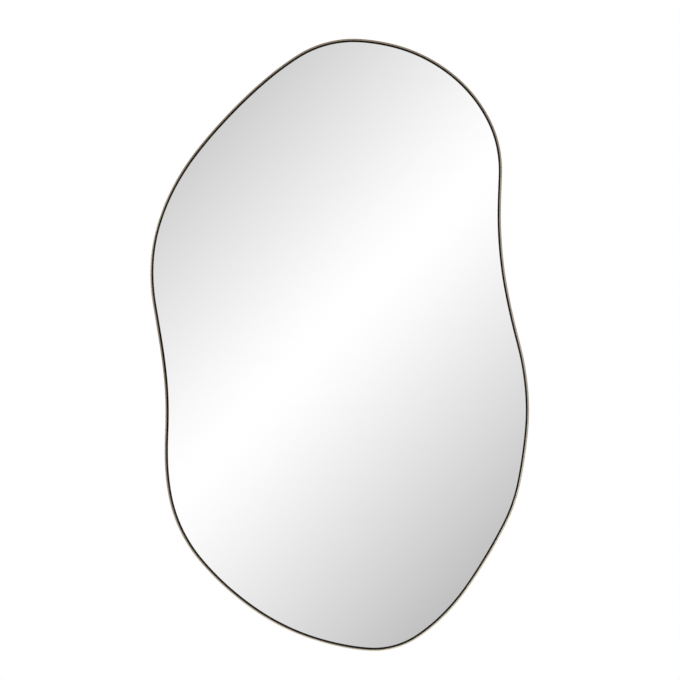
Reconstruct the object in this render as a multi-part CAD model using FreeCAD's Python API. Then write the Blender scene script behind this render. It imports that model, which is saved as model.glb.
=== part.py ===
"""A wavy, irregular wall mirror in a thin metal band, with its backing board and hangers.

Millimetres. The mirror hangs upright: +Z is up, +X is to the right as seen from the front,
and the glass faces -Y. The wall is the plane Y = 0, which the four rubber bumpers touch.
The origin lies on that plane, midway between the two hooks that carry the mirror and at the
height where its raised rings bear on them.
"""

import math
import os

import FreeCAD
import Part

Vector = FreeCAD.Vector

# ---------------------------------------------------------------- driving dimensions
OVERALL_HEIGHT = 1000.0
OVERALL_WIDTH = 619.0

# The outer edge of the band, clockwise from beside the crown as seen from the front: (x, z)
# from the middle of the overall height and width. A smooth closed curve passes through them.
OUTLINE = [
    (90, 490), (150, 466), (223, 404), (263, 316), (264, 234), (276, 85), (309, -82), (300, -203),
    (291, -245), (247, -339), (173, -441), (77, -498), (18, -496), (-93, -461), (-185, -398), (-264, -297),
    (-286, -191), (-285, -104), (-296, 9), (-310, 123), (-269, 266), (-201, 357), (-116, 439), (-20, 494),
]  # fmt: skip

# Across the mirror, from the band inwards.
BAND_THICKNESS = 2.5
BAND_FRONT_RADIUS = 0.48 * BAND_THICKNESS  # both front corners, which nearly meet in a full round
BAND_REAR_RADIUS = 0.5
REVEAL = 2.5  # open gap between the band and the edge of the glass
BOARD_CLEARANCE = 0.5  # between the band and the edge of the board

# Through the mirror, from the front edge of the band to the wall.
FRONT_RECESS = 2.0  # glass behind the band's front edge
GLASS_THICKNESS = 4.0
GLASS_ARRIS = 0.5
BOND_THICKNESS = 1.0  # foam tape and adhesive, between glass and board
BOARD_THICKNESS = 9.0
REAR_LIP = 6.0  # band standing behind the board
WALL_GAP = 2.0  # between the band and the wall

TAPE_COUNT = 5
TAPE_SPACING = 100.0
TAPE_WIDTH = 20.0
TAPE_END_MARGIN = 35.0  # from the edge of the glass
BEAD_WIDTH = 8.0
BEAD_END_MARGIN = 50.0

LUG_STATIONS = [0, 3, 6, 9, 12, 15, 18, 21]  # points of OUTLINE
LUG_LENGTH = 22.0
LUG_REACH = 18.0
LUG_THICKNESS = 2.0
LUG_CORNER_RADIUS = 4.0
LUG_HOLE_FROM_BAND = 10.0

SCREW_SHANK_RADIUS = 1.75
SCREW_POINT_LENGTH = 2.5
SCREW_SHORT_OF_FRONT = 0.7  # from the longest-reaching point to the board's front face
SCREW_HEAD_RADIUS = 3.3
SCREW_HEAD_HEIGHT = 2.1
SCREW_HEAD_ROUNDING = 1.3
SCREW_RECESS_DEPTH = 1.2
SCREW_RECESS_SPAN = 3.8
SCREW_RECESS_WIDTH = 0.9
SCREW_HOLE_CLEARANCE = 0.5  # in lugs and straps, each side
SCREW_TURN_STEP = 40.0  # degrees, from one screw's recess to the next one's
PILOT_CLEARANCE = 0.05  # in the board, each side
PILOT_EXTRA_DEPTH = 0.3

HOOK_DROP = 230.0  # from the top of the mirror down to the hooks
HOOK_SPACING = 300.0
SIDE_HANGER_INSET = 90.0  # from the mirror's right side to the pins of the side rings
SIDE_HANGER_SPACING = 400.0

STRAP_WIDTH = 14.0
STRAP_THICKNESS = 1.2
STRAP_HOLE_SPACING = 16.0
STRAP_SEAM = 0.3  # gap where the rolled end meets the strap

RING_WIRE_RADIUS = 1.5
RING_PIN_CLEARANCE = 0.3  # inside the rolled end, all round
RING_SIDE_CLEARANCE = 0.5  # from the rolled end to where the wire begins to bend
RING_CORNER_RADIUS = 2.5
RING_LEG = 6.0  # from the pin to where the bow starts
RING_TO_SCREW = 2.2  # from the ring, lying on its strap, to the first screw's head

BUMPER_STATIONS = [2, 10, 14, 22]  # points of OUTLINE
BUMPER_FROM_BAND = 42.0
BUMPER_BASE_RADIUS = 8.0
BUMPER_FACE_RADIUS = 6.5
BUMPER_EDGE_RADIUS = 0.8

# ---------------------------------------------------------------- what follows from them
WALL_Y = 0.0
BAND_REAR_Y = WALL_Y - WALL_GAP
BOARD_BACK_Y = BAND_REAR_Y - REAR_LIP
BOARD_FRONT_Y = BOARD_BACK_Y - BOARD_THICKNESS
GLASS_BACK_Y = BOARD_FRONT_Y - BOND_THICKNESS
GLASS_FRONT_Y = GLASS_BACK_Y - GLASS_THICKNESS
BAND_FRONT_Y = GLASS_FRONT_Y - FRONT_RECESS

GLASS_INSET = BAND_THICKNESS + REVEAL
BOARD_INSET = BAND_THICKNESS + BOARD_CLEARANCE

SCREW_LENGTH = min(LUG_THICKNESS, STRAP_THICKNESS) + BOARD_THICKNESS - SCREW_SHORT_OF_FRONT
SCREW_HOLE_RADIUS = SCREW_SHANK_RADIUS + SCREW_HOLE_CLEARANCE

RING_HALF_WIDTH = STRAP_WIDTH / 2 + RING_SIDE_CLEARANCE + RING_CORNER_RADIUS
RING_REACH = RING_LEG + RING_HALF_WIDTH  # from the pin to the crown of the bow
HOOK_ABOVE_PIN = RING_REACH - RING_WIRE_RADIUS  # where a hook bears, with the ring raised
KNUCKLE_BORE_RADIUS = RING_WIRE_RADIUS + RING_PIN_CLEARANCE
KNUCKLE_RADIUS = KNUCKLE_BORE_RADIUS + STRAP_THICKNESS
RING_PIN_Y = BOARD_BACK_Y + KNUCKLE_RADIUS
STRAP_FIRST_HOLE = RING_REACH + RING_WIRE_RADIUS + RING_TO_SCREW + SCREW_HEAD_RADIUS
STRAP_LAST_HOLE = STRAP_FIRST_HOLE + STRAP_HOLE_SPACING

ALONG_X = Vector(1, 0, 0)
ALONG_Y = Vector(0, 1, 0)
ALONG_Z = Vector(0, 0, 1)
BACKWARD = ALONG_Y


# ---------------------------------------------------------------- the outline, as tangent arcs
def arc_middle(start, heading, end):
    """The middle of the arc that leaves start along heading and ends at end."""
    chord = end - start
    side = Vector(-chord.z, 0, chord.x).normalize()
    turn = math.atan2(heading.dot(side), heading.dot(chord) / chord.Length)
    return (start + end) / 2 + side * (chord.Length / 2 * math.tan(turn / 2))


def biarc_joint(start, heading, end, end_heading):
    """Where two tangent arcs meet, on the way from start to end with those headings."""
    chord = end - start
    both = heading + end_heading
    a = 2 * (1 - heading.dot(end_heading))
    b = 2 * chord.dot(both)
    c = -chord.dot(chord)
    reach = -c / b if abs(a) < 1e-9 else (math.sqrt(b * b - 4 * a * c) - b) / (2 * a)
    return (start + heading * reach + end - end_heading * reach) / 2


def inward(heading):
    """The normal that points into the mirror, for a heading that runs clockwise."""
    return Vector(heading.z, 0, -heading.x)


def arcs_through(points):
    """A smooth closed curve through the points, as tangent arcs, two from each to the next.

    Each arc is three (point, inward normal) pairs, at its start, middle and end."""
    curve = Part.BSplineCurve()
    curve.interpolate(Points=points, PeriodicFlag=True)
    headings = [curve.tangent(curve.parameter(p))[0] for p in points]
    arcs = []
    for i, start in enumerate(points):
        end = points[(i + 1) % len(points)]
        heading, end_heading = headings[i], headings[(i + 1) % len(points)]
        joint = biarc_joint(start, heading, end, end_heading)
        first_way = (joint - start).normalize()
        second_way = (end - joint).normalize()
        joint_heading = first_way * (2 * first_way.dot(heading)) - heading
        arcs.append([
            (start, inward(heading)),
            (arc_middle(start, heading, joint), inward(first_way)),
            (joint, inward(joint_heading)),
        ])  # fmt: skip
        arcs.append([
            (joint, inward(joint_heading)),
            (arc_middle(joint, joint_heading, end), inward(second_way)),
            (end, inward(end_heading)),
        ])  # fmt: skip
    return arcs


def wire_at(arcs, inset, y=0.0):
    """The closed wire that lies inset inside the outline, in the plane at y."""
    lift = ALONG_Y * y
    edges = []
    for arc in arcs:
        start, middle, end = [point + normal * inset + lift for point, normal in arc]
        edges.append(Part.Arc(start, middle, end).toShape())
    return Part.Wire(edges)


def box_of(shape):
    """The shape's true box, with no allowance for tolerance."""
    return shape.optimalBoundingBox(False, False)


def outline_arcs():
    """OUTLINE, stretched to the overall width and height and centred on them."""
    drawn = [Vector(x, 0, z) for x, z in OUTLINE]
    box = box_of(wire_at(arcs_through(drawn), 0))
    wide = OVERALL_WIDTH / box.XLength
    high = OVERALL_HEIGHT / box.ZLength
    return arcs_through([
        Vector((p.x - box.Center.x) * wide, 0, (p.z - box.Center.z) * high) for p in drawn
    ])  # fmt: skip


def centre_of_glass(arcs):
    return Part.Face(wire_at(arcs, GLASS_INSET)).CenterOfMass


def hung_outline():
    """The outline where it hangs: its top above the hooks, the centre of its glass under them."""
    arcs = outline_arcs()
    shift = Vector(-centre_of_glass(arcs).x, 0, HOOK_DROP - OVERALL_HEIGHT / 2)
    return [[(point + shift, normal) for point, normal in arc] for arc in arcs]


def station(arcs, number, inset):
    """The point inset from a point of OUTLINE, with the directions along the edge and inwards."""
    point, normal = arcs[2 * number][0]
    return point + normal * inset, normal.cross(BACKWARD), normal


# ---------------------------------------------------------------- helpers for solids
def plate(arcs, inset, front_y, back_y):
    """A solid plate with the outline's shape, inset from it, between two planes."""
    return Part.Face(wire_at(arcs, inset, front_y)).extrude(BACKWARD * (back_y - front_y))


def edges_in_planes(solid, *planes):
    """The solid's edges that lie in any of the given planes of equal Y."""
    return [
        edge for edge in solid.Edges
        for y in planes
        if abs(edge.BoundBox.YMin - y) < 1e-4 and abs(edge.BoundBox.YMax - y) < 1e-4
    ]  # fmt: skip


def set_at(shape, origin, x_axis, y_axis):
    """A copy of a shape that was drawn about 0, with its X and Y axes turned to those given."""
    z_axis = x_axis.cross(y_axis)
    moved = shape.copy()
    moved.Placement = FreeCAD.Placement(FreeCAD.Matrix(
        x_axis.x, y_axis.x, z_axis.x, origin.x,
        x_axis.y, y_axis.y, z_axis.y, origin.y,
        x_axis.z, y_axis.z, z_axis.z, origin.z,
        0, 0, 0, 1,
    ))  # fmt: skip
    return moved


# ---------------------------------------------------------------- band, glass, board
def make_band(arcs):
    outer = plate(arcs, 0, BAND_FRONT_Y, BAND_REAR_Y)
    band = outer.cut(plate(arcs, BAND_THICKNESS, BAND_FRONT_Y, BAND_REAR_Y))
    band = band.makeFillet(BAND_REAR_RADIUS, edges_in_planes(band, BAND_REAR_Y))
    return band.makeFillet(BAND_FRONT_RADIUS, edges_in_planes(band, BAND_FRONT_Y))


def make_glass(arcs):
    glass = plate(arcs, GLASS_INSET, GLASS_FRONT_Y, GLASS_BACK_Y)
    return glass.makeChamfer(GLASS_ARRIS, edges_in_planes(glass, GLASS_FRONT_Y, GLASS_BACK_Y))


def make_board(arcs, screw_seats):
    """The backing board, with a blind pilot hole for each screw."""
    board = plate(arcs, BOARD_INSET, BOARD_FRONT_Y, BOARD_BACK_Y)
    radius = SCREW_SHANK_RADIUS + PILOT_CLEARANCE
    pilots = [
        Part.makeCylinder(
            radius, SCREW_LENGTH - under_head + PILOT_EXTRA_DEPTH, Vector(x, BOARD_BACK_Y, z), -BACKWARD
        )
        for x, z, under_head in screw_seats
    ]
    return board.cut(pilots)


# ---------------------------------------------------------------- tape and adhesive
def make_bond_strip(arcs, x, width, margin):
    """An upright strip with square ends, that stops short of the edge of the glass."""
    field = Part.Face(wire_at(arcs, GLASS_INSET + margin))
    box = field.BoundBox
    reaches = []
    for side in (x - width / 2, x + width / 2):
        line = Part.makeLine(Vector(side, 0, box.ZMin), Vector(side, 0, box.ZMax))
        reaches.append(field.common(line).BoundBox)
    low = max(reach.ZMin for reach in reaches)
    high = min(reach.ZMax for reach in reaches)
    return Part.makeBox(width, BOND_THICKNESS, high - low, Vector(x - width / 2, GLASS_BACK_Y, low))


def make_bond(arcs):
    """Strips of foam tape across the mirror, and a bead of adhesive between each two."""
    strips = {}
    first = -TAPE_SPACING * (TAPE_COUNT - 1) / 2
    for i in range(TAPE_COUNT):
        x = first + i * TAPE_SPACING
        strips[f"bonding_tape_{i + 1}"] = make_bond_strip(arcs, x, TAPE_WIDTH, TAPE_END_MARGIN)
    for i in range(TAPE_COUNT - 1):
        x = first + (i + 0.5) * TAPE_SPACING
        strips[f"adhesive_bead_{i + 1}"] = make_bond_strip(arcs, x, BEAD_WIDTH, BEAD_END_MARGIN)
    return strips


# ---------------------------------------------------------------- lugs
def make_lug(arcs, number):
    """A flat lug, welded square to the band behind the board, with one screw hole."""
    wall, along, inwards = station(arcs, number, BAND_THICKNESS)
    corner = Vector(-LUG_LENGTH / 2, -BAND_THICKNESS, 0)
    blank = Part.makeBox(LUG_LENGTH, BAND_THICKNESS + LUG_REACH, LUG_THICKNESS, corner)
    free_corners = [
        edge for edge in blank.Edges
        if edge.BoundBox.YMin > LUG_REACH / 2 and edge.BoundBox.ZLength > LUG_THICKNESS / 2
    ]  # fmt: skip
    blank = blank.makeFillet(LUG_CORNER_RADIUS, free_corners)
    hole = Part.makeCylinder(SCREW_HOLE_RADIUS, LUG_THICKNESS, Vector(0, LUG_HOLE_FROM_BAND, 0))
    lug = set_at(blank.cut(hole), wall + BACKWARD * BOARD_BACK_Y, along, inwards)
    return lug.common(plate(arcs, BAND_THICKNESS, BOARD_BACK_Y, BOARD_BACK_Y + LUG_THICKNESS))


# ---------------------------------------------------------------- screws
def make_screw():
    """A pan-head wood screw that points along -Z, with the underside of its head at 0."""
    shank_length = SCREW_LENGTH - SCREW_POINT_LENGTH
    shank = Part.makeCylinder(SCREW_SHANK_RADIUS, shank_length, Vector(0, 0, 0), -ALONG_Z)
    point = Part.makeCone(SCREW_SHANK_RADIUS, 0, SCREW_POINT_LENGTH, Vector(0, 0, -shank_length), -ALONG_Z)
    head = Part.makeCylinder(SCREW_HEAD_RADIUS, SCREW_HEAD_HEIGHT)
    rim = [edge for edge in head.Edges if edge.BoundBox.ZMin > SCREW_HEAD_HEIGHT / 2]
    head = head.makeFillet(SCREW_HEAD_ROUNDING, rim)
    recess = Part.makeBox(
        SCREW_RECESS_SPAN, SCREW_RECESS_WIDTH, SCREW_RECESS_DEPTH,
        Vector(-SCREW_RECESS_SPAN / 2, -SCREW_RECESS_WIDTH / 2, SCREW_HEAD_HEIGHT - SCREW_RECESS_DEPTH),
    )  # fmt: skip
    crossed = recess.copy()
    crossed.rotate(Vector(0, 0, 0), ALONG_Z, 90)
    return shank.fuse([point, head]).cut([recess, crossed])


def drive_screws(screw, seats):
    """One screw at each (x, z, thickness under its head), driven forwards into the board."""
    driven = []
    for i, (x, z, under_head) in enumerate(seats):
        turn = math.radians(SCREW_TURN_STEP * i)
        turned = Vector(math.cos(turn), 0, math.sin(turn))
        seat = Vector(x, BOARD_BACK_Y + under_head, z)
        driven.append(set_at(screw, seat, turned, BACKWARD.cross(turned)))
    return Part.makeCompound(driven)


# ---------------------------------------------------------------- strap hangers and their rings
class Hanger:
    """A strap hanger: where its ring's pin is, and which way its strap runs from there."""

    def __init__(self, x, z, strap_way):
        self.pin = Vector(x, RING_PIN_Y, z)
        self.strap_way = strap_way

    def place(self, shape):
        """Sets a strap or ring there, which is drawn with its pin on X and its strap along Y."""
        return set_at(shape, self.pin, self.strap_way.cross(BACKWARD), self.strap_way)

    def screw_seats(self):
        holes = [self.pin + self.strap_way * reach for reach in (STRAP_FIRST_HOLE, STRAP_LAST_HOLE)]
        return [(hole.x, hole.z, STRAP_THICKNESS) for hole in holes]


def make_hangers(arcs):
    """Two hangers that carry the mirror upright, and two that carry it turned on its side."""
    side_x = box_of(wire_at(arcs, 0)).XMax - SIDE_HANGER_INSET
    middle_z = centre_of_glass(arcs).z
    half, side_half = HOOK_SPACING / 2, SIDE_HANGER_SPACING / 2
    return {
        "left": Hanger(-half, -HOOK_ABOVE_PIN, -ALONG_Z),
        "right": Hanger(half, -HOOK_ABOVE_PIN, -ALONG_Z),
        "side_upper": Hanger(side_x, middle_z + side_half, -ALONG_X),
        "side_lower": Hanger(side_x, middle_z - side_half, -ALONG_X),
    }


def make_strap():
    """A steel strip rolled round the pin at one end and rounded at the other, with two holes."""
    half = STRAP_WIDTH / 2
    underside = -KNUCKLE_RADIUS
    flat = Part.makeBox(STRAP_WIDTH, STRAP_LAST_HOLE, STRAP_THICKNESS, Vector(-half, 0, underside))
    end = Part.makeCylinder(half, STRAP_THICKNESS, Vector(0, STRAP_LAST_HOLE, underside))
    knuckle = Part.makeCylinder(KNUCKLE_RADIUS, STRAP_WIDTH, Vector(-half, 0, 0), ALONG_X)
    bore = Part.makeCylinder(KNUCKLE_BORE_RADIUS, STRAP_WIDTH, Vector(-half, 0, 0), ALONG_X)
    seam_corner = Vector(-half, 0, underside + STRAP_THICKNESS)
    seam = Part.makeBox(STRAP_WIDTH, KNUCKLE_RADIUS, STRAP_SEAM, seam_corner)
    holes = [
        Part.makeCylinder(SCREW_HOLE_RADIUS, STRAP_THICKNESS, Vector(0, y, underside))
        for y in (STRAP_FIRST_HOLE, STRAP_LAST_HOLE)
    ]
    return flat.fuse([end, knuckle]).cut([bore, seam, *holes]).removeSplitter()


def bent_wire(bend_radius, centre, start, sweep):
    """Round wire bent about Z, from the angle start on by sweep, in degrees."""
    section = Part.makeCircle(RING_WIRE_RADIUS, Vector(bend_radius, 0, 0), ALONG_Y)
    bend = Part.Face(Part.Wire(section)).revolve(Vector(0, 0, 0), ALONG_Z, sweep)
    bend.rotate(Vector(0, 0, 0), ALONG_Z, start)
    bend.translate(centre)
    return bend


def make_ring():
    """A D of round wire: its straight side is the pin, and its bow lies over the strap."""
    corner = RING_CORNER_RADIUS
    half = RING_HALF_WIDTH
    pin = Part.makeCylinder(RING_WIRE_RADIUS, 2 * (half - corner), Vector(corner - half, 0, 0), ALONG_X)
    pieces = [bent_wire(half, Vector(0, RING_LEG, 0), 0, 180)]
    for side, corner_start in ((1, -90), (-1, 180)):
        foot = Vector(side * half, corner, 0)
        pieces.append(bent_wire(corner, Vector(side * (half - corner), corner, 0), corner_start, 90))
        pieces.append(Part.makeCylinder(RING_WIRE_RADIUS, RING_LEG - corner, foot, ALONG_Y))
    return pin.fuse(pieces).removeSplitter()


# ---------------------------------------------------------------- bumpers
def make_bumper(arcs, number):
    """A stuck-on rubber bumper: a blunt cone from the board to a flat face on the wall."""
    place, _, _ = station(arcs, number, BAND_THICKNESS + BUMPER_FROM_BAND)
    base = place + BACKWARD * BOARD_BACK_Y
    blank = Part.makeCone(BUMPER_BASE_RADIUS, BUMPER_FACE_RADIUS, WALL_Y - BOARD_BACK_Y, base, BACKWARD)
    return blank.makeFillet(BUMPER_EDGE_RADIUS, edges_in_planes(blank, WALL_Y))


# ---------------------------------------------------------------- the whole mirror
def build():
    """Every piece by name."""
    arcs = hung_outline()
    hangers = make_hangers(arcs)
    lug_holes = [station(arcs, n, BAND_THICKNESS + LUG_HOLE_FROM_BAND)[0] for n in LUG_STATIONS]
    lug_seats = [(hole.x, hole.z, LUG_THICKNESS) for hole in lug_holes]
    hanger_seats = [seat for hanger in hangers.values() for seat in hanger.screw_seats()]

    nodes = {
        "frame_band": make_band(arcs),
        "mirror_glass": make_glass(arcs),
        "backing_board": make_board(arcs, lug_seats + hanger_seats),
    }
    nodes.update(make_bond(arcs))
    for i, number in enumerate(LUG_STATIONS, 1):
        nodes[f"board_lug_{i}"] = make_lug(arcs, number)

    screw, strap, ring = make_screw(), make_strap(), make_ring()
    nodes["lug_screws"] = drive_screws(screw, lug_seats)
    nodes["hanger_screws"] = drive_screws(screw, hanger_seats)
    for name, hanger in hangers.items():
        nodes[f"hanger_strap_{name}"] = hanger.place(strap)
        nodes[f"hanger_ring_{name}"] = hanger.place(ring)
    for i, number in enumerate(BUMPER_STATIONS, 1):
        nodes[f"wall_bumper_{i}"] = make_bumper(arcs, number)
    return nodes


os.makedirs("parts", exist_ok=True)
for name, shape in build().items():
    shape.exportStep(f"parts/{name}.step")
    box = box_of(shape)
    spans = f"x {box.XMin:.2f} {box.XMax:.2f}  y {box.YMin:.2f} {box.YMax:.2f}  z {box.ZMin:.2f} {box.ZMax:.2f}"
    print(f"{name}: {len(shape.Solids)} solid, valid {shape.isValid()}, {shape.Volume / 1000:.3f} cm3, {spans}")
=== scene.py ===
# %% [markdown]
# # A wavy wall mirror in a strip of brass
# The object is one lopsided mirror plate, a metre tall, in a frame that is no more than a brass strip
# set on edge. A dark gap of a few millimetres runs between the strip and the plate. On the back are
# a fibre board, the lugs that hold it, four hangers with swinging rings and four rubber bumpers.
# The measured parts come in as a fixed frame. What is made here is what needs a finer skin than they
# have: the strip, the plate and the welds. Everything else keeps its shape and gets its finish.

# %% Load the frame
import bisect
import math

import bpy
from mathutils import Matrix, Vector
from mathutils.kdtree import KDTree


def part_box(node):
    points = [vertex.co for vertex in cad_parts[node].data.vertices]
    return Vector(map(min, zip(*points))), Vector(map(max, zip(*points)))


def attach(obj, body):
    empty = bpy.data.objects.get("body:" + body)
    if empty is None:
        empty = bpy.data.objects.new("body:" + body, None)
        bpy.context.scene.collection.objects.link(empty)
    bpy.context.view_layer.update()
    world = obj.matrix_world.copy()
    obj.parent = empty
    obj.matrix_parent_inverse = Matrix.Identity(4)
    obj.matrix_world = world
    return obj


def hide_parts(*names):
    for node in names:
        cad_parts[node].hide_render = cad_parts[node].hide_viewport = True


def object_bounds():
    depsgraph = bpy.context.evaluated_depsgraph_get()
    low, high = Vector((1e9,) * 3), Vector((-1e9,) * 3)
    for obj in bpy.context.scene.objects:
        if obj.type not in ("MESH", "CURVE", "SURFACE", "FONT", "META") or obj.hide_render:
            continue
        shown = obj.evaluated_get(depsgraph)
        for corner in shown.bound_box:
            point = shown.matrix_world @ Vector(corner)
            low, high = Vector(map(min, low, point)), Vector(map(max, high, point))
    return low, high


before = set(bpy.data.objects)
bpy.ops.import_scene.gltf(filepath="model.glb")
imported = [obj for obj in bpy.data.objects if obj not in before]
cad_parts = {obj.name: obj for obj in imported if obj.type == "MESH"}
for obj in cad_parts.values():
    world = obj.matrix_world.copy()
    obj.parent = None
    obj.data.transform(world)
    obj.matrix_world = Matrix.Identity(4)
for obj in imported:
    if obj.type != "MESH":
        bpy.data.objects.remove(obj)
cad_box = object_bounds()
MM = 0.001
scene = bpy.context.scene
width, depth, height = [(high - low) / MM for low, high in zip(*cad_box)]
print(f"the frame is {width:.1f} mm wide, {depth:.1f} mm deep and {height:.1f} mm tall")

# %% [markdown]
# ## The camera
# The photograph is square on: the rim is as wide at the left as at the right, and no side of it shows.
# A camera far away with a long lens gives that view. Its height and its place from side to side come
# from where the middle of the mirror is in the picture, and its lens from how many millimetres one
# pixel covers at the front of the rim.

# %% Place the camera
PICTURE_SIDE = 680
MIDDLE_OF_MIRROR = (339.60, 344.93)
MM_PER_PIXEL = 1.6326
CAMERA_DISTANCE = 3.5
SENSOR = 36.0

rim_front = cad_box[0][1]
middle = (Vector(cad_box[0]) + Vector(cad_box[1])) / 2
camera_x = middle.x + (PICTURE_SIDE / 2 - MIDDLE_OF_MIRROR[0]) * MM_PER_PIXEL * MM
camera_z = middle.z + (MIDDLE_OF_MIRROR[1] - PICTURE_SIDE / 2) * MM_PER_PIXEL * MM
bpy.ops.object.camera_add(
    location=(camera_x, rim_front - CAMERA_DISTANCE, camera_z), rotation=(math.pi / 2, 0, 0)
)
camera = bpy.context.object
camera.name = "photo_camera"
camera.data.sensor_width = SENSOR
camera.data.lens = SENSOR * CAMERA_DISTANCE / (PICTURE_SIDE * MM_PER_PIXEL * MM)
scene.camera = camera
scene.view_settings.view_transform = "Standard"
print(f"lens {camera.data.lens:.1f} mm, camera at x {camera_x / MM:.1f}, z {camera_z / MM:.1f} mm")

# %% [markdown]
# ## Wiring up nodes
# Every finish here is a small tree of nodes. A few helpers keep those trees readable: one adds a node
# and sets what it is told to, two give an input a link or a plain value, and two more make the nodes
# that are used most, for sums and for mixing. Writing each link out by hand would work as well, but
# the trees would be three times as long.

# %% Helpers for node trees
def put(tree, kind, sockets=None, **settings):
    """Adds a node. Settings are the node's own, sockets are its inputs by name or number."""
    new = tree.nodes.new("ShaderNode" + kind)
    for name, value in settings.items():
        setattr(new, name, value)
    for name, value in (sockets or {}).items():
        new.inputs[name].default_value = value
    return new


def join(tree, source, out, target, into):
    tree.links.new(source.outputs[out], target.inputs[into])


def feed(tree, side, target, into):
    """Gives an input a value, or joins it to a node and the name or number of its output."""
    if isinstance(side, tuple) and isinstance(side[0], bpy.types.Node):
        join(tree, *side, target, into)
    else:
        target.inputs[into].default_value = side


def maths(tree, operation, first, second=None, clamp=False):
    """A Math node between two sides, each fed as above."""
    new = put(tree, "Math", operation=operation, use_clamp=clamp)
    feed(tree, first, new, 0)
    if second is not None:
        feed(tree, second, new, 1)
    return new


# A Mix node keeps sockets for every kind of data. These are the numbers of its two sides and its
# output for the two kinds that are used here.
MIX_SOCKETS = {"FLOAT": (2, 3, 0), "RGBA": (6, 7, 2)}


def mix(tree, kind, amount, first, second):
    """A Mix node from one side to the other, given back with the number of its output."""
    new = put(tree, "Mix", data_type=kind)
    left, right, out = MIX_SOCKETS[kind]
    feed(tree, amount, new, 0)
    feed(tree, first, new, left)
    feed(tree, second, new, right)
    return new, out


# %% [markdown]
# ## What the mirror looks into
# A mirror has no colour of its own, so its looks are the room in front of it. In the photograph that
# room is a pale studio with one long soft light that crosses it aslant: the plate is white along a
# diagonal, and greys evenly to both sides. More such lights run side by side further out, so the
# plate shows a soft slant of grey from other places too. The rim is rounded and sees round the sides
# as well. It is bright low at the right and high at the left, where it looks into two broad lights
# beside and behind the mirror, and dim along the top. Straight behind is a pale wall, which only the
# fittings on the back look at. The room could be built from white cards, but they would get in the
# way of other views, so it is painted on the world instead, as a function of direction. The camera
# itself sees plain white, and matt things are lit by an even grey. The world isn't sampled as a lamp
# is, because only a ray that comes from a surface knows what kind it is.

# %% Paint the long lights in front of the mirror
PLATE_REFLECTS = 0.93
STRIP_ANGLE = math.radians(46)
STRIP_MIDDLE = 0.0057
STRIP_HALF_SPACING = 0.2
STRIP_SLOPE = 4.15
STRIP_ROUNDING = 0.0143
DARKEST_GREY = 0.5
EVEN_LIGHT = 0.62

world = bpy.data.worlds.new("pale_studio")
scene.world = world
world.use_nodes = True
world.cycles.sampling_method = "NONE"
sky = world.node_tree
sky.nodes.clear()
direction = put(sky, "TexCoord")


def towards(x, y, z):
    """How well the direction of view agrees with another one: 1 where they are the same."""
    agrees = put(sky, "VectorMath", operation="DOT_PRODUCT")
    agrees.inputs[1].default_value = Vector((x, y, z)).normalized()
    join(sky, direction, "Generated", agrees, 0)
    return agrees


def ramp(source, low, high, at_low=0.0, at_high=1.0):
    """A soft step from one level to another, as a value goes from low to high."""
    step = put(sky, "MapRange", {"From Min": low, "From Max": high, "To Min": at_low, "To Max": at_high})
    step.interpolation_type = "SMOOTHSTEP"
    join(sky, source, "Value", step, "Value")
    return step


across = towards(-math.sin(STRIP_ANGLE), 0, math.cos(STRIP_ANGLE))
from_middle = maths(sky, "SUBTRACT", (across, "Value"), STRIP_MIDDLE)
from_nearest = maths(sky, "PINGPONG", (from_middle, 0), STRIP_HALF_SPACING)
squared = maths(sky, "MULTIPLY", (from_nearest, 0), (from_nearest, 0))
softened = maths(sky, "ADD", (squared, 0), STRIP_ROUNDING ** 2)
away = maths(sky, "SQRT", (softened, 0))
away = maths(sky, "SUBTRACT", (away, 0), STRIP_ROUNDING)
fall = maths(sky, "MULTIPLY", (away, 0), STRIP_SLOPE)
strips = maths(sky, "SUBTRACT", 1.0, (fall, 0))
strips = maths(sky, "MAXIMUM", (strips, 0), DARKEST_GREY)
strips = maths(sky, "DIVIDE", (strips, 0), PLATE_REFLECTS)

# %% Paint the rest of the room
# A pair below holds two cosines: a level starts to change at the first and is changed at the second.
FURTHER_OUT = 0.55
BEHIND = 0.06
MORE_ASIDE = 0.20
MORE_BELOW = 0.20
BACK_WALL = 0.45
AHEAD_PAIR = (0.85, 0.988)
BELOW_PAIR = (0.12, 0.55)
WALL_PAIR = (0.65, 0.95)
BACK_TO_FRONT_PAIR = (-0.15, 0.25)
RIGHT_LIGHT = {"place": (0.72, 0.52, -0.46), "strength": 2.2, "tightness": 14.0}
LEFT_LIGHT = {"place": (-0.93, 0.15, 0.33), "strength": 2.5, "tightness": 12.0}

ahead = towards(0, -1, 0)
dimmer = ramp(ahead, *AHEAD_PAIR, FURTHER_OUT, 1.0)
in_front = maths(sky, "MULTIPLY", (strips, 0), (dimmer, "Result"))
sideways = maths(sky, "ABSOLUTE", (towards(1, 0, 0), "Value"))
aside = maths(sky, "MULTIPLY", (sideways, 0), MORE_ASIDE)
below = ramp(towards(0, 0, -1), *BELOW_PAIR, BEHIND, BEHIND + MORE_BELOW)
behind = maths(sky, "ADD", (aside, 0), (below, "Result"))
wall = ramp(towards(0, 1, 0), *WALL_PAIR, 0.0, BACK_WALL)
behind = maths(sky, "ADD", (behind, 0), (wall, "Result"))


def broad_light(place, strength, tightness):
    """A round soft light in one direction. The tighter it is, the smaller it looks."""
    facing = maths(sky, "MAXIMUM", (towards(*place), "Value"), 0.0)
    lobe = maths(sky, "POWER", (facing, 0), tightness)
    return maths(sky, "MULTIPLY", (lobe, 0), strength)


turned_front = ramp(ahead, *BACK_TO_FRONT_PAIR)
room = mix(sky, "FLOAT", (turned_front, "Result"), (behind, 0), (in_front, 0))
lights = maths(sky, "ADD", (broad_light(**RIGHT_LIGHT), 0), (broad_light(**LEFT_LIGHT), 0))
whole = maths(sky, "ADD", room, (lights, 0))

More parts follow.
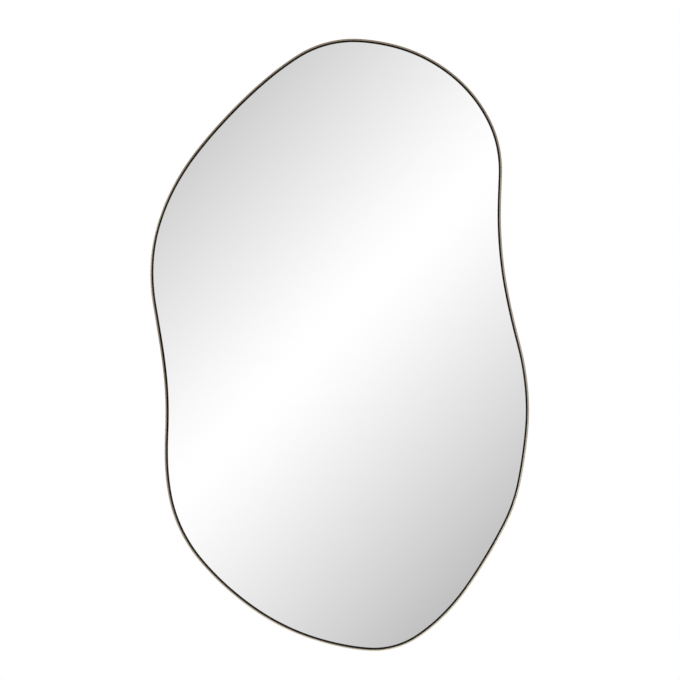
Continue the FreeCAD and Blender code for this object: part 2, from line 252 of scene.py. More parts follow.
# %% Choose what each kind of ray sees
rays = put(sky, "LightPath")
mirrored = maths(sky, "MAXIMUM", (rays, "Is Glossy Ray"), (rays, "Is Transmission Ray"))
seen = mix(sky, "FLOAT", (mirrored, 0), EVEN_LIGHT, (whole, 0))
shown = mix(sky, "FLOAT", (rays, "Is Camera Ray"), seen, 1.0)
background = put(sky, "Background", {"Color": (1.0, 1.0, 1.0, 1.0)})
join(sky, *shown, background, "Strength")
join(sky, background, 0, put(sky, "OutputWorld"), "Surface")
print(f"the world has {len(sky.nodes)} nodes")

# %% [markdown]
# ## Floor and lamps
# The mirror hangs, so the floor is below it and keeps a soft shadow. Close in it is matt and pale.
# Further out it turns plain white for the camera and clear for reflections, so that no edge of it
# shows. It stops short of where the camera would meet it in the mirror, and from below it is clear, so
# that it never hides the mirror. Two large soft lamps, one in front and one behind, bring the light
# on a matt surface up to the level at which a colour looks as it is written.

# %% Lay the floor
FLOOR_BELOW = 0.30
FLOOR_RADIUS = 1.95
FADE_STARTS = 0.75
FADE_ENDS = 1.35
PAPER_GREY = 0.86
floor_height = cad_box[0][2] - FLOOR_BELOW
bpy.ops.mesh.primitive_circle_add(
    vertices=128, radius=FLOOR_RADIUS, fill_type="NGON", location=(0, 0, floor_height)
)
floor = bpy.context.object
floor.name = "studio_floor"
bpy.ops.object.transform_apply(location=True)
paper = bpy.data.materials.new("floor_paper")
paper.use_nodes = True
tree = paper.node_tree
tree.nodes.clear()
place = put(tree, "TexCoord")
flat = put(tree, "VectorMath", operation="MULTIPLY")
flat.inputs[1].default_value = (1, 1, 0)
join(tree, place, "Object", flat, 0)
reach = put(tree, "VectorMath", operation="LENGTH")
join(tree, flat, 0, reach, 0)
fade = put(tree, "MapRange", {"From Min": FADE_STARTS, "From Max": FADE_ENDS})
fade.interpolation_type = "SMOOTHSTEP"
join(tree, reach, "Value", fade, "Value")
rays = put(tree, "LightPath")
matt = put(tree, "BsdfDiffuse", {"Color": (PAPER_GREY, PAPER_GREY, PAPER_GREY, 1.0)})
white = put(tree, "Emission", {"Color": (1, 1, 1, 1), "Strength": 1.0})
nothing = put(tree, "BsdfTransparent")
mirrored = maths(tree, "MAXIMUM", (rays, "Is Glossy Ray"), (rays, "Is Transmission Ray"))
whitened = maths(tree, "MULTIPLY", (fade, "Result"), (rays, "Is Camera Ray"))
gone_in_mirrors = maths(tree, "MULTIPLY", (fade, "Result"), (mirrored, 0))
cleared = maths(tree, "MAXIMUM", (gone_in_mirrors, 0), (put(tree, "NewGeometry"), "Backfacing"))
for_camera = put(tree, "MixShader")
join(tree, whitened, 0, for_camera, 0)
join(tree, matt, 0, for_camera, 1)
join(tree, white, 0, for_camera, 2)
finished = put(tree, "MixShader")
join(tree, cleared, 0, finished, 0)
join(tree, for_camera, 0, finished, 1)
join(tree, nothing, 0, finished, 2)
join(tree, finished, 0, put(tree, "OutputMaterial"), "Surface")
floor.data.materials.append(paper)
print(f"the floor is {floor_height / MM:.0f} mm from the origin")


# %% Hang the lamps
LAMP_WATTS = 85.0
LAMP_SIDE = 2.0


def soft_lamp(name, place):
    """A square soft light that looks at the middle of the mirror, and that metal doesn't show."""
    bpy.ops.object.light_add(type="AREA", location=place)
    lamp = bpy.context.object
    lamp.name = name
    lamp.data.shape = "SQUARE"
    lamp.data.size = LAMP_SIDE
    lamp.data.energy = LAMP_WATTS
    lamp.visible_glossy = False
    aim = middle - Vector(place)
    lamp.rotation_euler = aim.to_track_quat("-Z", "Y").to_euler()
    print(f"{name}: {LAMP_WATTS} W, {aim.length:.1f} m away")


soft_lamp("front_softbox", (-2.4, -3.0, 1.9))
soft_lamp("back_softbox", (2.2, 3.0, 1.7))

# %% [markdown]
# ## The outline
# The strip and the plate share one wavy outline. It could be drawn again by hand, but then it would
# drift from the measured plate, so its points are read from the edge of that plate. They stand up to
# two centimetres apart, too coarse for polished metal, where every flat shows in the highlights. A
# ring of as many points is pulled onto them, turned into a curve with automatic handles, which runs
# smoothly through all of them, and turned back into a mesh with a point every couple of millimetres.

# %% Read the edge of the plate
ARRIS = 0.5 * MM
SAME_DEPTH = 0.1 * MM
SAME_POINT = 1.0 * MM
plate_low, plate_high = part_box("mirror_glass")
plate_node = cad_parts["mirror_glass"]
arris_y = plate_low.y + ARRIS
edge = {
    (round(v.co.x, 6), round(v.co.z, 6))
    for v in plate_node.data.vertices
    if abs(v.co.y - arris_y) < SAME_DEPTH
}


def turn_round(point):
    """The angle of a point about the middle, to put the points in order."""
    return math.atan2(point[1] - middle.z, point[0] - middle.x)


ordered = sorted(edge, key=turn_round)
outline = [ordered[0]]
for point in ordered[1:]:
    if math.dist(point, outline[-1]) > SAME_POINT:
        outline.append(point)
print(f"{len(outline)} points on the edge, {len(edge)} before the doubles were left out")


# %% Helpers for modelling
def let_go():
    """Leaves edit mode and deselects everything."""
    if bpy.context.object and bpy.context.object.mode != "OBJECT":
        bpy.ops.object.mode_set(mode="OBJECT")
    bpy.ops.object.select_all(action="DESELECT")


def hold(obj):
    """Makes one object the only one that operators act on."""
    let_go()
    obj.select_set(True)
    bpy.context.view_layer.objects.active = obj


def edit(obj, choose="SELECT"):
    hold(obj)
    bpy.ops.object.mode_set(mode="EDIT")
    bpy.ops.mesh.select_all(action=choose)


def modify(obj, kind, **settings):
    """Adds a modifier, sets it and applies it."""
    hold(obj)
    modifier = obj.modifiers.new(kind.lower(), kind)
    for name, value in settings.items():
        setattr(modifier, name, value)
    bpy.ops.object.modifier_apply(modifier=modifier.name)


def report(obj):
    """Prints how many faces a piece has and how large it is."""
    faces = len(obj.data.polygons)
    size = [d / MM for d in obj.dimensions]
    print(f"{obj.name}: {faces} faces, {size[0]:.1f} x {size[1]:.1f} x {size[2]:.1f} mm")


# %% Pull a ring onto the points and smooth it
STEPS_TO_NEXT_POINT = 6
let_go()
bpy.ops.mesh.primitive_circle_add(vertices=len(outline), radius=width / 2 * MM)
ring = bpy.context.object
ring.name = "outline"
for vertex, point in zip(ring.data.vertices, outline):
    vertex.co = (point[0], 0, point[1])
hold(ring)
bpy.ops.object.convert(target="CURVE")
ring = bpy.context.object
bpy.ops.object.mode_set(mode="EDIT")
bpy.ops.curve.select_all(action="SELECT")
bpy.ops.curve.spline_type_set(type="BEZIER")
bpy.ops.curve.handle_type_set(type="AUTOMATIC")
bpy.ops.object.mode_set(mode="OBJECT")
ring.data.resolution_u = STEPS_TO_NEXT_POINT
bpy.ops.object.convert(target="MESH")
ring = bpy.context.object
report(ring)

# %% Measure along the outline
# Distances start at the lowest point, where the strip's two ends are welded together.
NEIGHBOUR = 3
loop = sorted((turn_round((v.co.x, v.co.z)), v.co.x, v.co.z) for v in ring.data.vertices)
loop = [Vector((x, 0, z)) for _, x, z in loop]
lowest = min(range(len(loop)), key=lambda i: loop[i].z)
loop = loop[lowest:] + loop[:lowest]
along = [0.0]
for here, there in zip(loop, loop[1:]):
    along.append(along[-1] + (there - here).length)
around = along[-1] + (loop[0] - loop[-1]).length
finder = KDTree(len(loop))
for number, point in enumerate(loop):
    finder.insert(point, number)
finder.balance()
print(f"{around / MM:.0f} mm round, one point every {around / len(loop) / MM:.2f} mm")


def nearest(point):
    """The number of the outline point nearest to a place, whatever its depth."""
    return finder.find(Vector((point[0], 0, point[2])))[1]


def off(point):
    """How far a place is from the outline, whatever its depth."""
    return (Vector((point[0], 0, point[2])) - loop[nearest(point)]).length


def inward(number):
    """The direction square to the outline, towards the middle."""
    before = loop[number - NEIGHBOUR]
    after = loop[(number + NEIGHBOUR) % len(loop)]
    run = (after - before).normalized()
    square = Vector((-run.z, 0, run.x))
    if square.dot(Vector((middle.x, 0, middle.z)) - loop[number]) < 0:
        square = -square
    return square


def at(distance):
    """The place that far along the outline, and the inward direction there."""
    distance %= around
    number = bisect.bisect_right(along, distance) - 1
    here = loop[number]
    there = loop[(number + 1) % len(loop)]
    return here + (there - here).normalized() * (distance - along[number]), inward(number)


# %% [markdown]
# ## The brass strip
# The real rim is flat strip, 2.5 mm thick and 22 mm deep, bent on edge round a former, welded into a
# ring and dressed smooth. A ribbon is drawn back from the outline, moved out by the width of the gap,
# and given its thickness by Solidify. A bevel breaks its four corners, because it is the small round
# of the front corner that catches the light all the way along. The corners are picked in edge mode:
# in vertex mode the short edges that join two picked corners would be bevelled with them.

# %% Make the strip
GAP = 2.5 * MM
STRIP = 2.5 * MM
FRONT_ROUND = 1.2 * MM
FRONT_STEPS = 7
REAR_ROUND = 0.5 * MM
REAR_STEPS = 4
IN_PLANE = 0.01 * MM
band_low, band_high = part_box("frame_band")

hold(ring)
bpy.ops.object.duplicate()
band = bpy.context.object
band.name = "brass_band"
edit(band)
bpy.ops.transform.translate(value=(0, band_low.y, 0))
bpy.ops.mesh.extrude_region_move(TRANSFORM_OT_translate={"value": (0, band_high.y - band_low.y, 0)})
bpy.ops.mesh.select_all(action="SELECT")
bpy.ops.mesh.normals_make_consistent(inside=False)
bpy.ops.object.mode_set(mode="OBJECT")
sample = band.data.polygons[0]
if sample.normal.dot(inward(nearest(sample.center))) > 0:
    edit(band)
    bpy.ops.mesh.flip_normals()
edit(band)
bpy.ops.transform.shrink_fatten(value=GAP, use_even_offset=True)
bpy.ops.object.mode_set(mode="OBJECT")
modify(band, "SOLIDIFY", thickness=STRIP, offset=1.0, use_even_offset=True)
for plane, radius, steps in (
    (band_low.y, FRONT_ROUND, FRONT_STEPS),
    (band_high.y, REAR_ROUND, REAR_STEPS),
):
    edit(band, "DESELECT")
    bpy.ops.mesh.select_mode(type="EDGE")
    bpy.ops.object.mode_set(mode="OBJECT")
    for corner in band.data.edges:
        ends = [band.data.vertices[v].co for v in corner.vertices]
        in_plane = all(abs(end.y - plane) < IN_PLANE for end in ends)
        runs_along = abs(off(ends[0]) - off(ends[1])) < STRIP / 5
        corner.select = in_plane and runs_along
    bpy.ops.object.mode_set(mode="EDIT")
    bpy.ops.mesh.bevel(offset=radius, segments=steps, profile=0.5, clamp_overlap=False)
    bpy.ops.mesh.select_mode(type="VERT")
    bpy.ops.object.mode_set(mode="OBJECT")
bpy.ops.object.shade_smooth_by_angle(angle=math.radians(40))
report(band)

# %% Lay a map along the strip
# The map runs along the strip in one direction and across it in the other, so that the marks of
# brushing can follow the metal. A face that crosses the weld gets the full length at its far end.
mesh = band.data
strip_map = mesh.uv_layers.active or mesh.uv_layers.new(name="along")
spots = [(along[nearest(v.co)], v.co.y - off(v.co) + GAP) for v in mesh.vertices]
for face in mesh.polygons:
    places = [(corner, *spots[mesh.loops[corner].vertex_index]) for corner in face.loop_indices]
    furthest = max(u for _, u, _ in places)
    for corner, u, v in places:
        if furthest - u > around / 2:
            u += around
        strip_map.data[corner].uv = (u, v)
print("the strip is mapped in metres, along and across")

# %% [markdown]
# ## The mirror plate
# The plate is 4 mm float glass, cut to the outline and ground, with a small arris along both edges,
# silvered and painted on its back. It is drawn as one filled outline, extruded to its thickness and
# bevelled. The two large faces stay flat shaded: a smooth normal at their border would bend what the
# mirror shows. The faces are sorted into three finishes by the way they look: front, ground edge and
# painted back.

# %% Make the plate
SQUARE_ON = 0.999
hold(ring)
bpy.ops.object.duplicate()
plate = bpy.context.object
plate.name = "mirror_plate"
edit(plate)
bpy.ops.transform.translate(value=(0, plate_low.y, 0))
bpy.ops.mesh.edge_face_add()
thickness = plate_high.y - plate_low.y
bpy.ops.mesh.extrude_region_move(TRANSFORM_OT_translate={"value": (0, thickness, 0)})
bpy.ops.mesh.select_all(action="SELECT")
bpy.ops.mesh.normals_make_consistent(inside=False)
bpy.ops.object.mode_set(mode="OBJECT")
modify(plate, "BEVEL", width=ARRIS, segments=2, limit_method="ANGLE", angle_limit=math.radians(60))
bpy.ops.object.shade_smooth_by_angle(angle=math.radians(25))
FRONT, GROUND, PAINTED = range(3)
for face in plate.data.polygons:
    face.material_index = GROUND
    if abs(face.normal.y) > SQUARE_ON:
        face.use_smooth = False
        face.material_index = FRONT if face.normal.y < 0 else PAINTED
report(plate)

# %% [markdown]
# ## The welds behind the lugs
# Eight brass lugs are welded inside the rear edge of the strip and hold the board. Each has a short
# weld in the corner between lug and strip. A weld is a row of small overlapping puddles, so it is
# drawn as a round bar that is extruded step by step, a little thicker and thinner at each step, and
# tapers at both ends. It is modelled once at the origin, then each copy is bent to the outline by
# moving its points, and put in its corner.

# %% Model one weld at the origin
WELD_LENGTH = 17.0 * MM
WELD_RADIUS = 1.25 * MM
WELD_TIP = 0.35 * MM
PUDDLE_STEPS = 24
BLUNTNESS = 0.35
RIPPLE = 0.09
let_go()
bpy.ops.mesh.primitive_circle_add(
    vertices=12, radius=WELD_TIP, fill_type="NGON", rotation=(0, math.pi / 2, 0)
)
weld = bpy.context.object
weld.name = "weld"
bpy.ops.object.transform_apply(rotation=True)
edit(weld)
bpy.ops.transform.translate(value=(-WELD_LENGTH / 2, 0, 0))
radius_now = WELD_TIP
for step in range(1, PUDDLE_STEPS + 1):
    radius_next = WELD_TIP
    if step < PUDDLE_STEPS:
        taper = math.sin(math.pi * step / PUDDLE_STEPS) ** BLUNTNESS
        radius_next = WELD_RADIUS * taper * (1 + RIPPLE * math.cos(step * math.pi))
    step_along = (WELD_LENGTH / PUDDLE_STEPS, 0, 0)
    bpy.ops.mesh.extrude_region_move(TRANSFORM_OT_translate={"value": step_along})
    bpy.ops.transform.resize(value=(1, radius_next / radius_now, radius_next / radius_now))
    radius_now = radius_next
bpy.ops.mesh.select_all(action="SELECT")
bpy.ops.mesh.normals_make_consistent(inside=False)
bpy.ops.object.mode_set(mode="OBJECT")
modify(weld, "SUBSURF", levels=1, render_levels=1)
bpy.ops.object.shade_smooth()
report(weld)

# %% Put a weld behind each lug
lugs = sorted(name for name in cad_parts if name.startswith("board_lug"))
welds = []
for number, lug in enumerate(lugs, start=1):
    lug_low, lug_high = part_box(lug)
    middle_of_lug = along[nearest((lug_low + lug_high) / 2)]
    hold(weld)
    bpy.ops.object.duplicate()
    bead = bpy.context.object
    bead.name = f"lug_weld_{number}"
    for vertex in bead.data.vertices:
        on_line, square = at(middle_of_lug + vertex.co.x)
        backward = Vector((0, lug_high.y + vertex.co.y, 0))
        vertex.co = on_line - square * (GAP - vertex.co.z) + backward
    edit(bead)
    bpy.ops.mesh.normals_make_consistent(inside=False)
    bpy.ops.object.mode_set(mode="OBJECT")
    welds.append(bead)
for used in (ring, weld):
    bpy.data.objects.remove(used)
print(f"{len(welds)} welds, the first with {len(welds[0].data.polygons)} faces")

# %% [markdown]
# ## Shared effects
# Metal, board, rubber and paint all need a few of the same things: a colour that drifts a little from
# place to place, fine dust, and brushing along the metal. Each is made once as a node group that
# gives a value or a colour, and is placed in the finishes with its own numbers.


# %% Helpers for groups
def new_group(name, inputs, outputs):
    """A node group, with its inputs and outputs given as name and kind (and a first value)."""
    group = bpy.data.node_groups.new(name, "ShaderNodeTree")
    for label, kind, value in inputs:
        socket = group.interface.new_socket(label, in_out="INPUT", socket_type="NodeSocket" + kind)
        if value is not None:
            socket.default_value = value
    for label, kind in outputs:
        group.interface.new_socket(label, in_out="OUTPUT", socket_type="NodeSocket" + kind)
    start = group.nodes.new("NodeGroupInput")
    end = group.nodes.new("NodeGroupOutput")
    return group, start, end


def place_group(tree, group, **values):
    """Puts a group in a material, with its own values."""
    new = tree.nodes.new("ShaderNodeGroup")
    new.node_tree = group
    for label, value in values.items():
        new.inputs[label].default_value = value
    return new


# %% Group: drifting colour
drift, start, end = new_group(
    "drifting_colour",
    [("Vector", "Vector", None), ("Scale", "Float", 8.0), ("Amount", "Float", 0.5),
     ("Clean", "Color", None), ("Aged", "Color", None)],
    [("Color", "Color"), ("Mask", "Float")],
)
cloud = put(drift, "TexNoise", {"Detail": 4.0, "Roughness": 0.55})
join(drift, start, "Vector", cloud, "Vector")
join(drift, start, "Scale", cloud, "Scale")
spread = put(drift, "MapRange", {"From Min": 0.35, "From Max": 0.68})
join(drift, cloud, 0, spread, "Value")
mask = maths(drift, "MULTIPLY", (spread, "Result"), (start, "Amount"), clamp=True)
tint = mix(drift, "RGBA", (mask, 0), (start, "Clean"), (start, "Aged"))
join(drift, *tint, end, "Color")
join(drift, mask, 0, end, "Mask")

# %% Group: fine dust
dust, start, end = new_group(
    "fine_dust",
    [("Vector", "Vector", None), ("Scale", "Float", 900.0), ("Amount", "Float", 0.3)],
    [("Mask", "Float")],
)
specks = put(dust, "TexNoise", {"Detail": 2.0, "Roughness": 0.7})
patches = put(dust, "TexNoise", {"Detail": 3.0, "Scale": 14.0})
join(dust, start, "Vector", specks, "Vector")
join(dust, start, "Scale", specks, "Scale")
join(dust, start, "Vector", patches, "Vector")
sharp = put(dust, "MapRange", {"From Min": 0.52, "From Max": 0.74})
join(dust, specks, 0, sharp, "Value")
where = put(dust, "MapRange", {"From Min": 0.4, "From Max": 0.65})
join(dust, patches, 0, where, "Value")
both = maths(dust, "MULTIPLY", (sharp, "Result"), (where, "Result"))
amount = maths(dust, "MULTIPLY", (both, 0), (start, "Amount"), clamp=True)
join(dust, amount, 0, end, "Mask")

# %% Group: brushing along a line
brushing, start, end = new_group(
    "brushing",
    [("Vector", "Vector", None), ("Along", "Float", 12.0), ("Across", "Float", 2600.0)],
    [("Height", "Float")],
)
parts = put(brushing, "SeparateXYZ")
join(brushing, start, "Vector", parts, 0)
slow = maths(brushing, "MULTIPLY", (parts, "X"), (start, "Along"))
quick = maths(brushing, "MULTIPLY", (parts, "Y"), (start, "Across"))
stretched = put(brushing, "CombineXYZ")
join(brushing, slow, 0, stretched, "X")
join(brushing, quick, 0, stretched, "Y")
join(brushing, parts, "Z", stretched, "Z")
lines = put(brushing, "TexNoise", {"Scale": 1.0, "Detail": 5.0, "Roughness": 0.6})
join(brushing, stretched, 0, lines, "Vector")
join(brushing, lines, 0, end, "Height")
print("three shared effects: drifting colour, fine dust and brushing")

# %% [markdown]
# ## The finishes
# Each finish is one Principled shader with its own small tree in front of it. The next helpers start
# such a material and give it what most of them have: clouds of two colours, a fine noise, a roughness
# that follows something, and bumps. The cells after them fill in one finish each.

# %% Helpers for finishes
def new_finish(name, **sockets):
    """A material with its shader set as told, and the node that says where on the piece it is."""
    material = bpy.data.materials.new(name)
    material.use_nodes = True
    tree = material.node_tree
    tree.nodes.clear()
    shader = put(tree, "BsdfPrincipled")
    for label, value in sockets.items():
        shader.inputs[label].default_value = value
    join(tree, shader, 0, put(tree, "OutputMaterial"), "Surface")
    where = put(tree, "TexCoord")
    return material, tree, shader, where


def clouds(tree, where, scale, amount, clean, aged):
    """Two colours that drift into each other from place to place."""
    tones = place_group(tree, drift, Scale=scale, Amount=amount, Clean=(*clean, 1), Aged=(*aged, 1))
    join(tree, where, "Object", tones, "Vector")
    return tones


def fine_noise(tree, place, scale, detail, roughness=0.5):
    """Noise in the piece's own metres, for pits, scratches and fibres."""
    noise = put(tree, "TexNoise", {"Scale": scale, "Detail": detail, "Roughness": roughness})
    feed(tree, place, noise, "Vector")
    return noise


def roughen(tree, shader, source, out, low, high):
    """Drives the roughness from a value between 0 and 1."""
    limits = put(tree, "MapRange", {"To Min": low, "To Max": high})
    join(tree, source, out, limits, "Value")
    join(tree, limits, "Result", shader, "Roughness")


def emboss(tree, shader, source, out, strength, distance):
    """Raises bumps of the given height."""
    bump = put(tree, "Bump", {"Strength": strength, "Distance": distance})
    join(tree, source, out, bump, "Height")
    join(tree, bump, 0, shader, "Normal")


# %% [markdown]
# ### Brass with painted light
# The rim is a light, slightly rosy brass with a satin polish, brushed along the strip. Its colour also
# holds painted light: it is browner and darker over the top and down the left, as painted shade, and
# pale low at the right and high at the left, as painted highlights. So the colour is mixed by place,
# from how far towards the lower right a point lies and how near it is to a spot high at the left.
# Small clouds of a duller brass break that up. The map made above carries the brushing.

# %% Brass for the strip
# The pale brass below is the colour of painted highlights and the brown brass of painted shade on the
# rim.
PAINTED_HIGHLIGHT_BRASS = (0.95, 0.88, 0.73, 1.0)
PAINTED_SHADE_BRASS = (0.53, 0.43, 0.31, 1.0)
DULL_BRASS = (0.50, 0.40, 0.27, 1.0)
HIGHLIGHT_TOWARDS = (0.75, 0.0, -0.66)
FULL_SHADE_AT = 0.0
FULL_HIGHLIGHT_AT = 0.58
UPPER_LEFT_HIGHLIGHT = (-0.309, -0.013, -0.105)
HIGHLIGHT_REACH = 0.19
HIGHLIGHT_CORE = 0.03
DULLING = 0.5
brass, tree, shader, where = new_finish("brass_painted_light", Metallic=1.0)
# Painted light: the colour turns pale towards the lower right and near a spot high at the left, as
# painted highlights, and stays brown elsewhere, as painted shade.
lower_right = put(tree, "VectorMath", operation="DOT_PRODUCT")
lower_right.inputs[1].default_value = HIGHLIGHT_TOWARDS
join(tree, where, "Object", lower_right, 0)
lower_right_highlight = put(tree, "MapRange", {"From Min": FULL_SHADE_AT, "From Max": FULL_HIGHLIGHT_AT})
join(tree, lower_right, "Value", lower_right_highlight, "Value")
from_upper_highlight = put(tree, "VectorMath", operation="DISTANCE")
from_upper_highlight.inputs[1].default_value = UPPER_LEFT_HIGHLIGHT
join(tree, where, "Object", from_upper_highlight, 0)
upper_highlight_mask = put(tree, "MapRange", {"From Min": HIGHLIGHT_REACH, "From Max": HIGHLIGHT_CORE})
upper_highlight_mask.interpolation_type = "SMOOTHSTEP"
join(tree, from_upper_highlight, "Value", upper_highlight_mask, "Value")
highlight_mask = maths(tree, "MAXIMUM", (lower_right_highlight, "Result"), (upper_highlight_mask, "Result"))
brass_with_painted_light = mix(tree, "RGBA", (highlight_mask, 0), PAINTED_SHADE_BRASS, PAINTED_HIGHLIGHT_BRASS)
tones = place_group(tree, drift, Scale=9.0, Amount=0.4, Aged=DULL_BRASS)
join(tree, where, "Object", tones, "Vector")
join(tree, *brass_with_painted_light, tones, "Clean")
brushed = place_group(tree, brushing, Along=14.0, Across=2400.0)
join(tree, where, "UV", brushed, "Vector")
join(tree, tones, "Color", shader, "Base Color")
worn = maths(tree, "MULTIPLY", (tones, "Mask"), DULLING)
marked = maths(tree, "ADD", (brushed, "Height"), (worn, 0), clamp=True)
roughen(tree, shader, marked, 0, low=0.28, high=0.50)
emboss(tree, shader, brushed, "Height", strength=0.06, distance=0.04 * MM)
print(f"{brass.name} has {len(tree.nodes)} nodes")

# %% Brass for lugs and welds
lug_brass, tree, shader, where = new_finish("lug_brass", Metallic=1.0)
tones = clouds(tree, where, scale=60.0, amount=0.9, clean=(0.74, 0.62, 0.42), aged=(0.42, 0.30, 0.17))
join(tree, tones, "Color", shader, "Base Color")
grain = fine_noise(tree, (where, "Object"), scale=1400.0, detail=3.0)
roughen(tree, shader, grain, 0, low=0.28, high=0.58)
emboss(tree, shader, grain, 0, strength=0.25, distance=0.1 * MM)

weld_brass, tree, shader, where = new_finish("weld_brass", Metallic=1.0)
tones = clouds(tree, where, scale=220.0, amount=1.0, clean=(0.70, 0.55, 0.34), aged=(0.30, 0.20, 0.16))
join(tree, tones, "Color", shader, "Base Color")
roughen(tree, shader, tones, "Mask", low=0.25, high=0.6)
soot = fine_noise(tree, (where, "Object"), scale=2400.0, detail=2.0)
emboss(tree, shader, soot, 0, strength=0.3, distance=0.1 * MM)
print("two more brass finishes, for lugs and for welds")

# %% [markdown]
# ### The plate's three finishes
# The silvered front reflects nearly everything, a touch greener than it came. What gives it away as a
# real plate is the faintest haze of dust and a few wiped streaks, which make it a trace less sharp.
# The ground edge is matt and grey-green, because it looks into the glass. The back is a grey paint.

# %% Silvered front
GREEN_TINGE = 0.002
DUST_DIMS = 0.006
silver, tree, shader, where = new_finish("silvered_face", Metallic=1.0)
haze = place_group(tree, dust, Scale=700.0, Amount=1.0)
join(tree, where, "Object", haze, "Vector")
wiped = put(tree, "Mapping", {"Rotation": (0, math.radians(38), 0), "Scale": (3.0, 3.0, 22.0)})
join(tree, where, "Object", wiped, "Vector")
streaks = fine_noise(tree, (wiped, 0), scale=2.2, detail=4.0)
smear = put(tree, "MapRange", {"From Min": 0.55, "From Max": 0.8})
join(tree, streaks, 0, smear, "Value")
hazy = maths(tree, "ADD", (haze, "Mask"), (smear, "Result"), clamp=True)
roughen(tree, shader, hazy, 0, low=0.006, high=0.022)
clean_silver = (PLATE_REFLECTS, PLATE_REFLECTS + GREEN_TINGE, PLATE_REFLECTS, 1)
dusty_silver = (PLATE_REFLECTS - DUST_DIMS, PLATE_REFLECTS - DUST_DIMS, PLATE_REFLECTS - DUST_DIMS, 1)
bright = mix(tree, "RGBA", (hazy, 0), clean_silver, dusty_silver)
join(tree, *bright, shader, "Base Color")
print(f"{silver.name} has {len(tree.nodes)} nodes")

# %% Ground edge and painted back
ground, tree, shader, where = new_finish("ground_edge", IOR=1.52)
tones = clouds(tree, where, scale=180.0, amount=0.8, clean=(0.10, 0.13, 0.115), aged=(0.05, 0.07, 0.06))
join(tree, tones, "Color", shader, "Base Color")
scratches = fine_noise(tree, (where, "Object"), scale=3000.0, detail=2.0)
roughen(tree, shader, scratches, 0, low=0.35, high=0.7)
emboss(tree, shader, scratches, 0, strength=0.3, distance=0.1 * MM)

paint, tree, shader, where = new_finish("backing_paint")
tones = clouds(tree, where, scale=25.0, amount=0.7, clean=(0.20, 0.21, 0.22), aged=(0.13, 0.14, 0.15))
join(tree, tones, "Color", shader, "Base Color")
orange_peel = fine_noise(tree, (where, "Object"), scale=700.0, detail=1.0)
roughen(tree, shader, orange_peel, 0, low=0.4, high=0.6)
emboss(tree, shader, orange_peel, 0, strength=0.3, distance=0.2 * MM)
for finish in (silver, ground, paint):
    plate.data.materials.append(finish)
print("the plate has", [m.name for m in plate.data.materials])

# %% [markdown]
# ### Fibre board
# The board is medium density fibreboard: tan, in broad faint clouds, with darker and lighter fibres
# pressed flat in two directions. Its front is painted black, so that the gap round the plate reads as
# a dark line. One material does both: it looks at how far forward the surface is.

# %% Board
BLACK_FRONT = -16.6 * MM
BLACK_PAINT = (0.006, 0.0055, 0.005, 1)
FIBRE_TURN = 0.5
FIBRE_STRETCH = (1.0, 1.0, 0.35)
CROSSED_TURN = -0.9
CROSSED_STRETCH = (1.0, 1.0, 0.3)
board, tree, shader, where = new_finish("fibre_board")
tones = clouds(tree, where, scale=7.0, amount=0.8, clean=(0.44, 0.30, 0.18), aged=(0.36, 0.235, 0.135))
pressed = put(tree, "Mapping", {"Rotation": (0, FIBRE_TURN, 0), "Scale": FIBRE_STRETCH})
join(tree, where, "Object", pressed, "Vector")
fibres = fine_noise(tree, (pressed, 0), scale=900.0, detail=4.0, roughness=0.7)
crossed = put(tree, "Mapping", {"Rotation": (0, CROSSED_TURN, 0), "Scale": CROSSED_STRETCH})
join(tree, where, "Object", crossed, "Vector")
more_fibres = fine_noise(tree, (crossed, 0), scale=420.0, detail=3.0, roughness=0.7)
felted = maths(tree, "MULTIPLY", (fibres, 0), (more_fibres, 0))
dark = put(tree, "MapRange", {"From Min": 0.12, "From Max": 0.42, "To Min": 0.72, "To Max": 1.22})
join(tree, felted, 0, dark, "Value")
shaded = put(tree, "VectorMath", operation="SCALE")
join(tree, tones, "Color", shaded, 0)
join(tree, dark, "Result", shaded, "Scale")
parts = put(tree, "SeparateXYZ")
join(tree, where, "Object", parts, 0)
front = maths(tree, "LESS_THAN", (parts, "Y"), BLACK_FRONT)
painted = mix(tree, "RGBA", (front, 0), (shaded, 0), BLACK_PAINT)
join(tree, *painted, shader, "Base Color")
roughen(tree, shader, felted, 0, low=0.9, high=0.7)
emboss(tree, shader, felted, 0, strength=0.35, distance=0.3 * MM)
print(f"{board.name} has {len(tree.nodes)} nodes")

# %% [markdown]
# ### Foam tape and adhesive
# Both are behind the plate and only show if it is taken apart. The tape is grey closed-cell foam, and
# the adhesive is an off-white sealant with a skin.

# %% Tape and beads
foam, tree, shader, where = new_finish("foam_tape")
tones = clouds(tree, where, scale=90.0, amount=0.6, clean=(0.34, 0.35, 0.36), aged=(0.24, 0.25, 0.26))
join(tree, tones, "Color", shader, "Base Color")
cells = put(tree, "TexVoronoi", {"Scale": 1500.0})
join(tree, where, "Object", cells, "Vector")
roughen(tree, shader, cells, "Distance", low=0.95, high=0.8)
emboss(tree, shader, cells, "Distance", strength=0.6, distance=0.2 * MM)

sealant, tree, shader, where = new_finish("mirror_adhesive")
tones = clouds(tree, where, scale=120.0, amount=0.6, clean=(0.70, 0.67, 0.60), aged=(0.58, 0.54, 0.46))
join(tree, tones, "Color", shader, "Base Color")
skin = fine_noise(tree, (where, "Object"), scale=260.0, detail=3.0)
roughen(tree, shader, skin, 0, low=0.3, high=0.6)
emboss(tree, shader, skin, 0, strength=0.4, distance=0.4 * MM)
print("two finishes for what holds the plate to the board")

# %% [markdown]
# ### Zinc-plated steel
# The hangers, rings and screws are pressed, bent and headed steel with a thin bright zinc plating. It
# is a bluish grey metal with a cloudy lustre, fine pits, and a little white bloom in places.

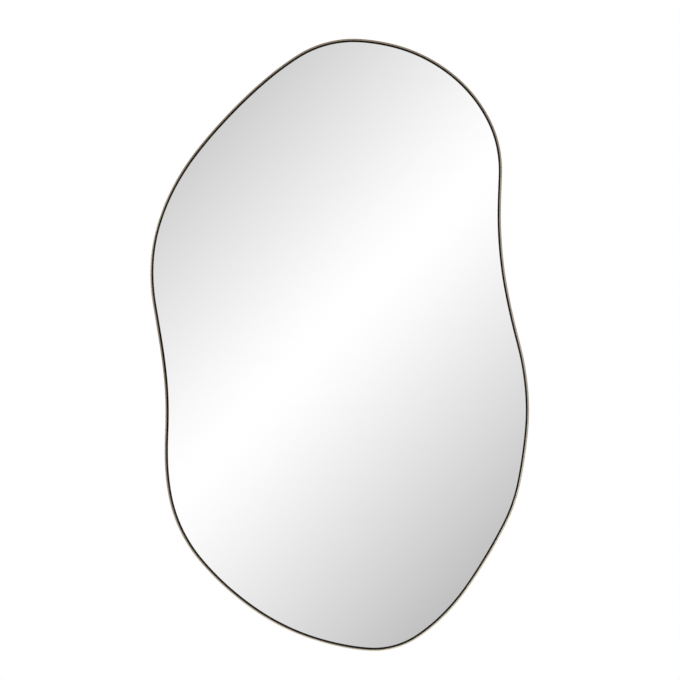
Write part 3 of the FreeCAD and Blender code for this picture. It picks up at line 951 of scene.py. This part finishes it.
# %% Zinc
WHITE_BLOOM = (0.80, 0.80, 0.78, 1)
zinc, tree, shader, where = new_finish("zinc_plating", Metallic=1.0)
tones = clouds(tree, where, scale=130.0, amount=0.9, clean=(0.66, 0.68, 0.70), aged=(0.47, 0.48, 0.47))
bloom = place_group(tree, dust, Scale=1300.0, Amount=0.5)
join(tree, where, "Object", bloom, "Vector")
chalky = mix(tree, "RGBA", (bloom, "Mask"), (tones, "Color"), WHITE_BLOOM)
join(tree, *chalky, shader, "Base Color")
dull = maths(tree, "ADD", (tones, "Mask"), (bloom, "Mask"), clamp=True)
roughen(tree, shader, dull, 0, low=0.22, high=0.48)
pits = fine_noise(tree, (where, "Object"), scale=2200.0, detail=2.0)
emboss(tree, shader, pits, 0, strength=0.2, distance=0.08 * MM)
print(f"{zinc.name} has {len(tree.nodes)} nodes")

# %% [markdown]
# ### Rubber
# The bumpers are moulded rubber: nearly black, matt, with a fine spark-eroded grain from the mould
# and a little pale dust on them.

# %% Rubber
PALE_DUST = (0.20, 0.19, 0.18, 1)
rubber, tree, shader, where = new_finish("bumper_rubber")
tones = clouds(
    tree, where, scale=160.0, amount=0.7, clean=(0.018, 0.018, 0.019), aged=(0.034, 0.033, 0.032)
)
powder = place_group(tree, dust, Scale=1600.0, Amount=0.35)
join(tree, where, "Object", powder, "Vector")
dusty = mix(tree, "RGBA", (powder, "Mask"), (tones, "Color"), PALE_DUST)
join(tree, *dusty, shader, "Base Color")
grain = fine_noise(tree, (where, "Object"), scale=2600.0, detail=2.0)
roughen(tree, shader, grain, 0, low=0.55, high=0.85)
emboss(tree, shader, grain, 0, strength=0.35, distance=0.12 * MM)
print(f"{rubber.name} has {len(tree.nodes)} nodes")

# %% Give every measured part its finish
FINISHES = {
    "frame_band": brass,
    "mirror_glass": silver,
    "backing_board": board,
    "bonding_tape": foam,
    "adhesive_bead": sealant,
    "board_lug": lug_brass,
    "lug_screws": zinc,
    "hanger_": zinc,
    "wall_bumper": rubber,
}
for name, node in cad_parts.items():
    finish = next(f for start_of_name, f in FINISHES.items() if name.startswith(start_of_name))
    for place in node.material_slots:
        place.material = finish
print(f"{len(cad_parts)} measured parts have their finish")

# %% [markdown]
# ## Put it together
# The new pieces ride on the mirror's body. The strip and the plate stand for their measured parts,
# which stay hidden behind them for collisions. The rings keep riding on bodies of their own, so they
# still swing.

# %% Hand the pieces over
band.data.materials.clear()
band.data.materials.append(brass)
for bead in welds:
    bead.data.materials.clear()
    bead.data.materials.append(weld_brass)
for piece in (band, plate, *welds):
    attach(piece, "mirror")
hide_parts("frame_band")
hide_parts("mirror_glass")
let_go()
